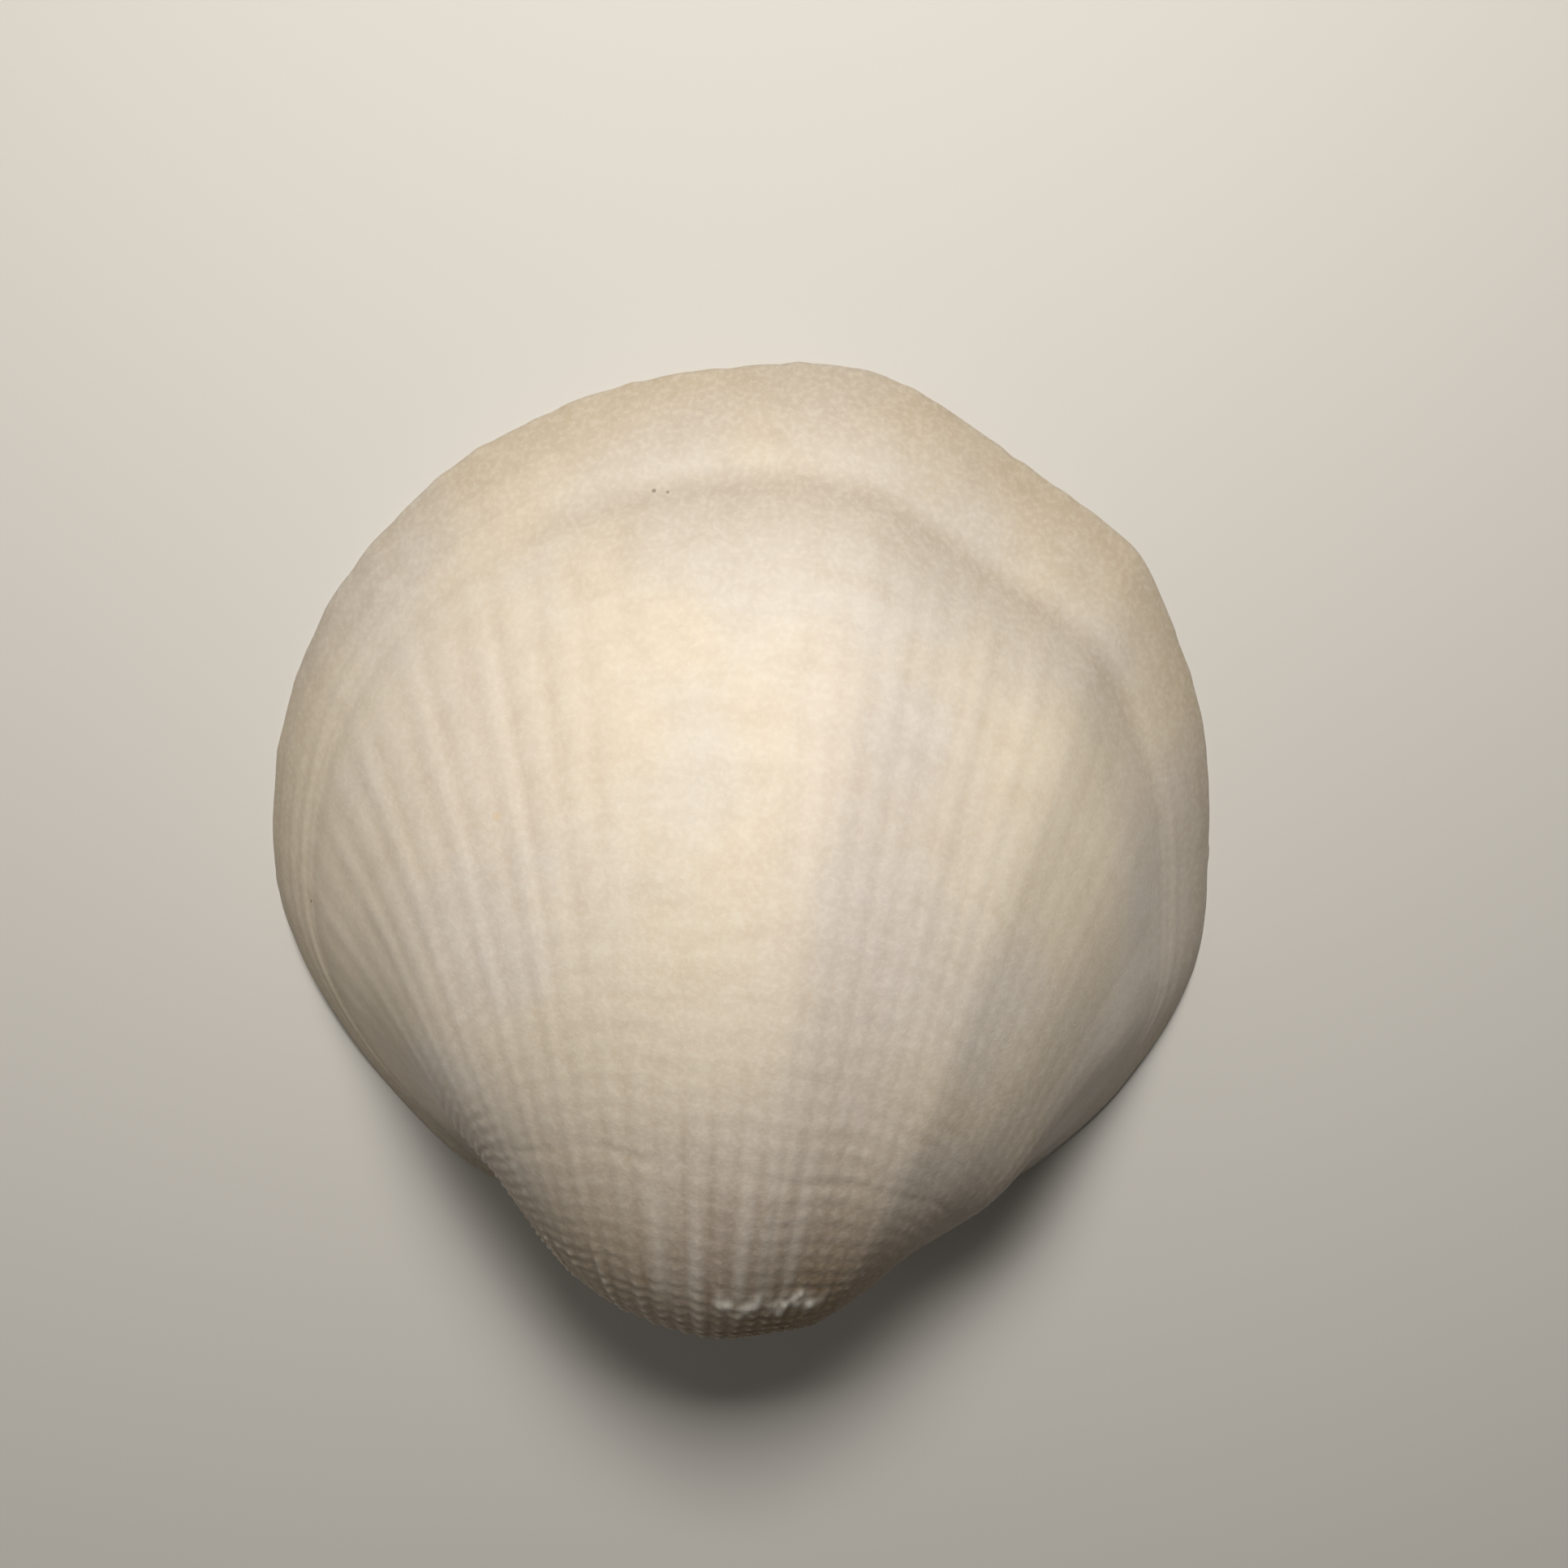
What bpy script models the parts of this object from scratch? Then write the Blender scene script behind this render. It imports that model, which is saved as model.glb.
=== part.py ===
"""One valve of a small ribbed clam shell, lying on its rim with the outer side up.

The valve is one closed solid. Its outer side follows the way a shell grows: the rim is copied
smaller and smaller while it turns about the hinge line, so that it spirals into the beak. The
bowl inside is a second, smaller spiral of the same kind, and between the two lie the flat rim
and the hinge plate with its teeth.

Frame: the rim lies on z = 0, +Z points out of the domed side, the hinge line runs along X and
+Y points from the hinge to the far edge of the shell. The origin is the middle of the shell's
box, on the rim's plane. Lengths are in metres.
"""

import math

import bmesh
import bpy
from mathutils import Vector

MM = 0.001

# The rim, seen from above, in millimetres from the hinge line's middle: it starts at the
# hinge's right end and runs anticlockwise round the shell and back along the hinge.
RIM_POINTS_MM = (
    (6.1, -0.1),
    (8.2, 2.2),
    (9.9, 4.55),
    (11.1, 7.75),
    (10.95, 10.95),
    (10.15, 14.55),
    (8.35, 17.85),
    (6.95, 19.1),
    (5.3, 20.0),
    (1.9, 21.7),
    (0.1, 22.1),
    (-1.9, 21.95),
    (-5.6, 20.8),
    (-8.8, 18.8),
    (-11.25, 15.95),
    (-12.65, 12.65),
    (-12.95, 9.0),
    (-12.25, 5.8),
    (-10.15, 2.75),
    (-6.9, -0.1),
    (-4.0, -0.9),
    (0.0, -1.3),
    (3.6, -0.8),
)

# The middle of the hinge line in the shell's frame.
HINGE_MIDDLE = Vector((0.899 * MM, -10.031 * MM, 0.0))

# Growth: each radian of turn about the hinge line shrinks the rim's copy by exp(-GROWTH).
# Its width shrinks at WIDTH_GROWTH less WIDTH_EASE for each radian, because the young shell
# was the wider one.
GROWTH = 0.678
WIDTH_GROWTH = 0.723
WIDTH_EASE = 0.064
BEAK_TURN = math.radians(135)
BOWL_TURN = math.radians(112)
CLOSING_POWER = 8

# Heights that the beak and the deepest end of the bowl stand above the rim's plane.
BEAK_LIFT = 1.0 * MM
BOWL_LIFT = 1.5 * MM

# Wall, hinge plate and teeth.
RIM_WIDTH = 0.95 * MM
HINGE_WIDTH = 2.0 * MM
HINGE_RECESS = 0.55 * MM
HINGE_END = 3.0 * MM
TOOTH_HEIGHT = 0.42 * MM
# Each tooth: its middle on the hinge plate and its half sizes along X and Y, in millimetres.
TEETH_MM = (
    (-1.1, 0.4, 0.55, 0.75),
    (1.0, 0.5, 0.55, 0.75),
    (-6.6, 1.6, 1.3, 0.5),
    (5.9, 1.4, 1.2, 0.5),
)

# The growth stop: a step all round the shell, deepest on the right of the far edge. Inside the
# bowl it is a gentler wave.
STOP_TURN = 0.137
STOP_SLOPE = 0.075
BOWL_STOP_SLOPE = 0.20
STOP_DEPTH = 0.042
STOP_SHALLOW = 0.2
STOP_DEEPEST = math.radians(76)
STOP_SPREAD = math.radians(36)
SHELL_MIDDLE = Vector((0.0, 7.0 * MM, 0.0))

# The flanks on both sides of the hinge bulge: they rise at once from the rim, by up to
# FLANK_RISE at FLANK_TURN and beyond, and the bulge is gone before the beak.
FLANK_RISE = 0.9 * MM
FLANK_TURN = 0.10

# Beside the beak they bulge again. Each bulge is the angle on the rim of its middle, its half
# width there, and how far it moves the surface along X and up.
BEAK_BULGES = (
    (math.radians(35), math.radians(20), 0.5 * MM, 0.9 * MM),
    (math.radians(147), math.radians(20), -0.1 * MM, 1.0 * MM),
)
BULGE_TURN = 0.95
BULGE_SPREAD = 0.45

# Mesh: columns round the rim, and rings from the beak to the deepest end of the bowl.
COLUMNS = 92
BAND_RINGS = 5
STEP_RINGS = 4
DOME_RINGS = 19
RIM_RINGS = 5
BOWL_RINGS = 15
OUTER_RINGS = BAND_RINGS + STEP_RINGS + DOME_RINGS
SHARP_ANGLE = math.radians(40)

SHELL_COLOUR = (0.79, 0.69, 0.54, 1.0)
SHELL_ROUGHNESS = 0.5


def clear_scene():
    """Remove every object of the starting scene."""
    for obj in list(bpy.data.objects):
        bpy.data.objects.remove(obj, do_unlink=True)


def shell_material():
    """Chalky cream shell, with a soft shine."""
    material = bpy.data.materials.new("cream_shell")
    material.use_nodes = True
    shader = material.node_tree.nodes["Principled BSDF"]
    shader.inputs["Base Color"].default_value = SHELL_COLOUR
    shader.inputs["Roughness"].default_value = SHELL_ROUGHNESS
    shader.inputs["Metallic"].default_value = 0.0
    material.diffuse_color = SHELL_COLOUR
    return material


def smooth_step(low, high, value):
    """0 below low, 1 above high, and a smooth rise between them."""
    part = min(max((value - low) / (high - low), 0.0), 1.0)
    return part * part * (3.0 - 2.0 * part)


def spline_point(points, place):
    """The point at a place, counted in points, on the closed smooth curve through them."""
    index = math.floor(place)
    part = place - index
    count = len(points)
    before, start, end, after = (points[(index + step) % count] for step in (-1, 0, 1, 2))
    bend = 2.0 * before - 5.0 * start + 4.0 * end - after
    twist = 3.0 * start - before - 3.0 * end + after
    return start + 0.5 * part * (end - before + part * (bend + part * twist))


def rim_columns(count):
    """Points of the rim, evenly spaced along it."""
    points = [Vector((x * MM, y * MM)) for x, y in RIM_POINTS_MM]
    steps = 40 * len(points)
    fine = [spline_point(points, i * len(points) / steps) for i in range(steps + 1)]
    reach = [0.0]
    for start, end in zip(fine, fine[1:]):
        reach.append(reach[-1] + (end - start).length)
    columns = []
    segment = 0
    for i in range(count):
        target = reach[-1] * i / count
        while reach[segment + 1] < target:
            segment += 1
        part = (target - reach[segment]) / (reach[segment + 1] - reach[segment])
        columns.append(fine[segment].lerp(fine[segment + 1], part))
    return columns


def inner_rim(edge):
    """The bowl's edge beside a point of the rim: the rim drawn in, and past the hinge plate."""
    far = max(y for x, y in RIM_POINTS_MM) * MM
    side = max(-x for x, y in RIM_POINTS_MM) * MM
    depth = (far - RIM_WIDTH - HINGE_WIDTH) / far
    width = (side - RIM_WIDTH) / side
    if edge.y < 0:
        return Vector((edge.x * width, HINGE_WIDTH + 0.3 * edge.y))
    return Vector((edge.x * width, HINGE_WIDTH + depth * edge.y))


def spiral(edge, hinge, turn, last_turn, lift):
    """The copy of a rim point after a turn about the hinge line, as a point of the shell."""
    radius = edge.y - hinge
    across = WIDTH_GROWTH - WIDTH_EASE * turn
    closing = math.sqrt(max(1.0 - (turn / last_turn) ** CLOSING_POWER, 0.0))
    size = math.exp(-GROWTH * turn) * closing
    x = edge.x * math.exp(-across * turn) * closing
    rise = lift * (1.0 - size) ** (0.5 + 3.5 * smooth_step(0.0, 6.0 * MM, radius))
    if radius < 0:
        return Vector((x, hinge + radius * size, rise))
    y = hinge + radius * size * math.cos(turn)
    return Vector((x, y, rise + radius * size * math.sin(turn)))


def stop_depth(edge, turn, slope):
    """How far the growth stop draws the surface in, as a share of its distance to the middle."""
    if edge.y < 0:
        return 0.0
    offset = (math.atan2(edge.y, edge.x) - STOP_DEEPEST) / STOP_SPREAD
    depth = STOP_DEPTH * (STOP_SHALLOW + (1.0 - STOP_SHALLOW) * math.exp(-offset * offset))
    depth *= smooth_step(0.0, 4.0 * MM, edge.y)
    if turn < STOP_TURN:
        return depth * turn / STOP_TURN
    return depth * math.exp(-(((turn - STOP_TURN) / slope) ** 2))


def flank_rise(edge, turn):
    """How far the bulge of the flanks raises the surface."""
    if edge.y < 0:
        return 0.0
    aside = smooth_step(0.35, 0.9, abs(edge.x) / edge.length)
    aside *= smooth_step(0.0, 3.0 * MM, edge.y)
    fade = 1.0 - smooth_step(0.5, 1.2, turn)
    return FLANK_RISE * aside * fade * (1.0 - math.exp(-turn / FLANK_TURN))


def beak_bulge(edge, turn):
    """How far the bulges beside the beak move the surface."""
    if edge.y < 0:
        return Vector((0.0, 0.0, 0.0))
    angle = math.atan2(edge.y, edge.x)
    share = math.exp(-(((turn - BULGE_TURN) / BULGE_SPREAD) ** 2))
    share *= smooth_step(0.0, 3.0 * MM, edge.y) * smooth_step(0.0, 0.3, turn)
    move = Vector((0.0, 0.0, 0.0))
    for middle, width, outwards, up in BEAK_BULGES:
        near = math.exp(-(((angle - middle) / width) ** 2))
        move += Vector((outwards, 0.0, up)) * near * share
    return move


def outer_point(edge, turn):
    """A point of the shell's outer side."""
    point = spiral(edge, 0.0, turn, BEAK_TURN, BEAK_LIFT)
    point = point.lerp(SHELL_MIDDLE, stop_depth(edge, turn, STOP_SLOPE))
    point.z += flank_rise(edge, turn)
    return point + beak_bulge(edge, turn)


def hinge_share(edge):
    """1 beside the hinge and 0 round the rest of the rim."""
    return 1.0 - smooth_step(0.0, HINGE_END, edge.y)


def tooth_rise(x, y):
    """How far the teeth stand out of the hinge plate at a place on it."""
    rise = 0.0
    for middle_x, middle_y, half_x, half_y in TEETH_MM:
        across = (x / MM - middle_x) / half_x
        along = (y / MM - middle_y) / half_y
        rise = max(rise, TOOTH_HEIGHT * math.exp(-across * across - along * along))
    return rise


def rim_point(edge, part):
    """A point of the rim and hinge plate, from its outer edge at part 0 to the bowl at part 1."""
    place = edge.lerp(inner_rim(edge), part)
    recess = HINGE_RECESS * hinge_share(edge) * smooth_step(0.0, 0.35, part)
    teeth = tooth_rise(place.x, place.y) * smooth_step(0.0, 0.3, part) * hinge_share(edge)
    return Vector((place.x, place.y, max(recess - teeth, 0.0)))


def bowl_point(edge, turn):
    """A point of the bowl's wall."""
    inner = inner_rim(edge)
    point = spiral(inner, HINGE_WIDTH, turn, BOWL_TURN, BOWL_LIFT)
    point = point.lerp(SHELL_MIDDLE, stop_depth(edge, turn, BOWL_STOP_SLOPE))
    point.z += HINGE_RECESS * hinge_share(edge) * (1.0 - smooth_step(0.0, 0.5, turn))
    point.z += flank_rise(edge, turn)
    return point + beak_bulge(edge, turn)


def outer_turn(ring):
    """The turn of a ring of the outer side, counted from the rim: rings crowd at the stop."""
    if ring <= BAND_RINGS:
        return STOP_TURN * ring / BAND_RINGS
    step_end = STOP_TURN + 2.0 * STOP_SLOPE
    if ring <= BAND_RINGS + STEP_RINGS:
        return STOP_TURN + 2.0 * STOP_SLOPE * (ring - BAND_RINGS) / STEP_RINGS
    return step_end + (BEAK_TURN - step_end) * (ring - BAND_RINGS - STEP_RINGS) / DOME_RINGS


def shell_point(edge, ring):
    """The point of a rim column on a ring, counted from the beak to the bowl's deepest end."""
    if ring <= OUTER_RINGS:
        return outer_point(edge, outer_turn(OUTER_RINGS - ring))
    ring -= OUTER_RINGS
    if ring <= RIM_RINGS:
        return rim_point(edge, ring / RIM_RINGS)
    return bowl_point(edge, BOWL_TURN * (ring - RIM_RINGS) / BOWL_RINGS)


def build_valve(collection):
    """The valve: a ball's rings and columns, moved onto the shell's two sides and its rim."""
    rings = OUTER_RINGS + RIM_RINGS + BOWL_RINGS
    edges = rim_columns(COLUMNS)
    bm = bmesh.new()
    bmesh.ops.create_uvsphere(bm, u_segments=COLUMNS, v_segments=rings, radius=1.0)
    for vert in bm.verts:
        around = math.atan2(vert.co.y, vert.co.x) / math.tau * COLUMNS
        down = math.acos(min(max(vert.co.z, -1.0), 1.0)) / math.pi * rings
        vert.co = shell_point(edges[round(around) % COLUMNS], round(down))
    bmesh.ops.translate(bm, verts=bm.verts, vec=HINGE_MIDDLE)
    bmesh.ops.triangulate(bm, faces=bm.faces)
    mesh = bpy.data.meshes.new("valve")
    bm.to_mesh(mesh)
    bm.free()
    mesh.materials.append(shell_material())
    mesh.shade_smooth()
    mesh.set_sharp_from_angle(angle=SHARP_ANGLE)
    valve = bpy.data.objects.new("valve", mesh)
    collection.objects.link(valve)
    return valve


def main():
    """Build the shell in its own collection."""
    clear_scene()
    collection = bpy.data.collections.new("clam_shell")
    bpy.context.scene.collection.children.link(collection)
    build_valve(collection)


main()
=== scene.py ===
"""The finished look of one clam shell valve, lying on its rim with the ribbed side up.

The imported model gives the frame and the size. The valve here is the same growth spiral with its
real relief: radial ribs that follow the growth, beads where fine threads cross them near the
beak, a growth stop with a smooth last band outside it, a notched inner rim, hinge teeth, muscle
scars and the pallial line. Lengths are in metres unless a name says otherwise. Angles on the rim
run from the hinge's right end, on the rear side, over the far edge to the front side. Numbers that
stand beside degrees are such angles, and numbers beside turn are radians about the hinge line.
"""

import logging
import math
from dataclasses import dataclass
from enum import Enum
from typing import Sequence

import bmesh
import bpy
import numpy as np
from mathutils import Matrix, Vector


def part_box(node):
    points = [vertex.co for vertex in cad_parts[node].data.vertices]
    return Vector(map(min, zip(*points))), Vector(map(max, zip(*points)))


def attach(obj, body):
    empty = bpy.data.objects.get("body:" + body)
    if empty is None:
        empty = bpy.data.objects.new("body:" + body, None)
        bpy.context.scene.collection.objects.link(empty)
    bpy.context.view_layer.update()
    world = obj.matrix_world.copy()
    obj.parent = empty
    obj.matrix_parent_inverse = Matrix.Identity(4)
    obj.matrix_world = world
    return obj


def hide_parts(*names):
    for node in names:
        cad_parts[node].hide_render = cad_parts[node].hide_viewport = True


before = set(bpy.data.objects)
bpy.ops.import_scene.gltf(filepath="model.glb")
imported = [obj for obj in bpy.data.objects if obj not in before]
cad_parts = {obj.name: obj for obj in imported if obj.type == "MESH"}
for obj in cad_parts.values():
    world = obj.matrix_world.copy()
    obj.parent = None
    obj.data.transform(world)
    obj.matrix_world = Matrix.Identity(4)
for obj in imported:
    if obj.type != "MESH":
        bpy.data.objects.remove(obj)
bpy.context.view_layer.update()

LOG = logging.getLogger("clam_shell")
MM = 0.001

Array = np.ndarray


class Side(Enum):
    """The parts of the valve's one skin, as the number its material reads."""

    OUTER = 0.0
    RIM = 1.0
    BOWL = 2.0


def smooth_step(low: float, high: float, value: Array | float) -> Array:
    """Rise smoothly from 0 to 1.

    Args:
        low: where the rise starts.
        high: where the rise ends.
        value: one place or an array of them.

    Returns:
        0 below low, 1 above high, and a smooth rise between them.
    """
    part = np.clip((np.asarray(value, float) - low) / (high - low), 0.0, 1.0)
    return part * part * (3.0 - 2.0 * part)


def plateau(
    start: float, full: float, fall: float, end: float, value: Array | float
) -> Array:
    """Rise smoothly from 0 to 1 and fall back to 0.

    Args:
        start: where the rise starts.
        full: where it reaches 1.
        fall: where the fall starts.
        end: where it is 0 again.
        value: one place or an array of them.

    Returns:
        1 from full to fall, 0 outside start and end, and smooth between them.
    """
    return smooth_step(start, full, value) * (1.0 - smooth_step(fall, end, value))


def bump(middle: float, width: float, value: Array | float) -> Array:
    """Give a bell-shaped bump.

    Args:
        middle: where the bump is highest.
        width: its half width, where it has fallen to about a third.
        value: one place or an array of them.

    Returns:
        1 at the middle, falling to 0 on both sides.
    """
    offset = (np.asarray(value, float) - middle) / width
    return np.exp(-offset * offset)


def linear_colour(hex_colour: str, alpha: float = 1.0) -> tuple[float, float, float, float]:
    """Turn an sRGB colour to the linear values that a shader reads.

    Args:
        hex_colour: six hex digits, such as "f0e2cc".
        alpha: opacity.

    Returns:
        Linear red, green, blue and alpha.
    """
    channels = []
    for start in (0, 2, 4):
        value = int(hex_colour[start:start + 2], 16) / 255.0
        channels.append(value / 12.92 if value <= 0.04045 else ((value + 0.055) / 1.055) ** 2.4)
    return (channels[0], channels[1], channels[2], alpha)


@dataclass
class RimOutline:
    """The rim seen from above, as its distance from the hinge line's middle at each angle.

    Attributes:
        points_mm: places on the rim in millimetres, anticlockwise from the hinge's right end.
        steps: places worked out between two neighbouring points.
    """

    points_mm: Sequence[tuple[float, float]] = (
        (6.1, -0.1),
        (8.2, 2.2),
        (9.9, 4.55),
        (11.1, 7.75),
        (10.95, 10.95),
        (10.15, 14.55),
        (8.35, 17.85),
        (6.95, 19.1),
        (5.3, 20.0),
        (1.9, 21.7),
        (0.1, 22.1),
        (-1.9, 21.95),
        (-5.6, 20.8),
        (-8.8, 18.8),
        (-11.25, 15.95),
        (-12.65, 12.65),
        (-12.95, 9.0),
        (-12.25, 5.8),
        (-10.15, 2.75),
        (-6.9, -0.1),
        (-4.0, -0.9),
        (0.0, -1.3),
        (3.6, -0.8),
    )
    steps: int = 40

    def __post_init__(self) -> None:
        """Work out the smooth closed curve through the points."""
        points = np.array(self.points_mm) * MM
        places = []
        for index in range(len(points)):
            before, start, end, after = (points[(index + step) % len(points)] for step in (-1, 0, 1, 2))
            part = (np.arange(self.steps) / self.steps)[:, None]
            bend = 2.0 * before - 5.0 * start + 4.0 * end - after
            twist = 3.0 * start - before - 3.0 * end + after
            places.append(start + 0.5 * part * (end - before + part * (bend + part * twist)))
        curve = np.concatenate(places)
        curve = np.concatenate([curve, curve[:1]])
        self.angles = np.unwrap(np.arctan2(curve[:, 1], curve[:, 0]))
        self.radii = np.hypot(curve[:, 0], curve[:, 1])
        self.reach = np.concatenate([[0.0], np.cumsum(np.hypot(*np.diff(curve, axis=0).T))])

    def edge(self, angle: Array) -> tuple[Array, Array]:
        """Give the rim's places at some angles.

        Args:
            angle: angles about the hinge line's middle, in radians.

        Returns:
            The places' x and y.
        """
        turned = (angle - self.angles[0]) % math.tau + self.angles[0]
        radius = np.interp(turned, self.angles, self.radii)
        return radius * np.cos(angle), radius * np.sin(angle)

    def angles_along(self, start: float, end: float, count: int) -> Array:
        """Give the angles of places evenly spaced along a stretch of the rim.

        Args:
            start: the stretch's first angle.
            end: the stretch's last angle, which is left out.
            count: number of places.

        Returns:
            The angles, in radians.
        """
        low, high = np.interp([start, end], self.angles, self.reach)
        return np.interp(low + (high - low) * np.arange(count) / count, self.reach, self.angles)


@dataclass(frozen=True)
class Growth:
    """The spiral that the shell grew along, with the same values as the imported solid.

    Attributes:
        rate: how fast the rim's copy shrinks for each radian of turn about the hinge line.
        width_rate: the same for its width, less width_ease for each radian.
        width_ease: see width_rate.
        closing: how late the spiral closes at its end.
    """

    rate: float = 0.678
    width_rate: float = 0.723
    width_ease: float = 0.064
    closing: int = 8

    def place(self, x: Array, y: Array, hinge: float, turn: Array, last: float, lift: float) -> Array:
        """Give the rim's copy after a turn about the hinge line.

        Args:
            x: the rim's x.
            y: the rim's y.
            hinge: y of the hinge line of this surface.
            turn: the turn, in radians.
            last: the turn at which the surface closes.
            lift: how high above the rim's plane it closes.

        Returns:
            The points, with a last axis of three.
        """
        radius = y - hinge
        closing = np.sqrt(np.maximum(1.0 - (turn / last) ** self.closing, 0.0))
        size = np.exp(-self.rate * turn) * closing
        across = np.exp(-(self.width_rate - self.width_ease * turn) * turn) * closing
        rise = lift * (1.0 - size) ** (0.5 + 3.5 * smooth_step(0.0, 6.0 * MM, radius))
        turned = np.where(radius > 0, turn, 0.0)
        return np.stack(
            [x * across, hinge + radius * size * np.cos(turned), rise + radius * size * np.sin(turned)],
            axis=-1,
        )


@dataclass(frozen=True)
class Ribs:
    """The ribs, the threads that cross them, and the ridge on the rear side.

    Attributes:
        first: angle where the ribs start, on the rear side.
        last: angle where they end, on the front side.
        rear_spacing: angle from rib to rib on the rear side.
        wider: how much wider the spacing is on the front side.
        crest_at: angle of one strong rib, which sets the others' places.
        drift: how far the ribs swing to the rear by drift_turn.
        drift_turn: see drift.
        thread_spacing: turn from one thread to the next.
    """

    first: float = math.radians(14)
    last: float = math.radians(164)
    rear_spacing: float = math.radians(2.4)
    wider: float = math.radians(1.05)
    crest_at: float = math.radians(118.5)
    drift: float = math.radians(4.5)
    drift_turn: float = 1.31
    thread_spacing: float = 0.054

    def spacing(self, angle: Array) -> Array:
        """Give the angle from rib to rib near an angle.

        Args:
            angle: angle on the rim, in radians.

        Returns:
            The spacing, in radians.
        """
        degrees = np.degrees(angle)
        side = 0.8 * (1.0 - smooth_step(50, 66, degrees)) + 0.4 * smooth_step(76, 86, degrees)
        front = smooth_step(88, 102, degrees) - 0.35 * bump(120, 9, degrees)
        return self.rear_spacing + np.radians(side) + self.wider * front

    def phase_table(self) -> tuple[Array, Array]:
        """Count the ribs along the rim.

        Returns:
            Fine angles, and the number of ribs up to each, which is whole at each crest.
        """
        angles = np.linspace(self.first - 0.3, self.last + 0.3, 2000)
        counts = np.concatenate([[0.0], np.cumsum(np.diff(angles) / self.spacing(angles[1:]))])
        counts -= np.interp(self.crest_at, angles, counts)
        return angles, counts

    def phase(self, angle: Array) -> Array:
        """Give the rib count at some angles: whole on a crest, and a half in a groove."""
        angles, counts = self.phase_table()
        return np.interp(angle, angles, counts)

    def column_angles(self, per_rib: int) -> Array:
        """Give angles that stand at the same places on every rib.

        Args:
            per_rib: places on each rib.

        Returns:
            Angles from the first rib to the last, in radians.
        """
        angles, counts = self.phase_table()
        low, high = np.interp([self.first, self.last], angles, counts)
        wanted = np.arange(math.ceil(low * per_rib), math.floor(high * per_rib) + 1) / per_rib
        return np.interp(wanted, counts, angles)

    def drifted(self, angle: Array, turn: Array) -> Array:
        """Give where a rib that starts at an angle on the rim has swung to after a turn.

        Args:
            angle: angle on the rim, in radians.
            turn: turn about the hinge line, in radians.

        Returns:
            The angles that the ribs have swung to.
        """
        share = smooth_step(math.radians(2), math.radians(40), angle)
        share = share * (1.0 - smooth_step(math.radians(150), math.radians(178), angle))
        return angle - self.drift * share * (turn / self.drift_turn) ** 1.5


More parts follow.
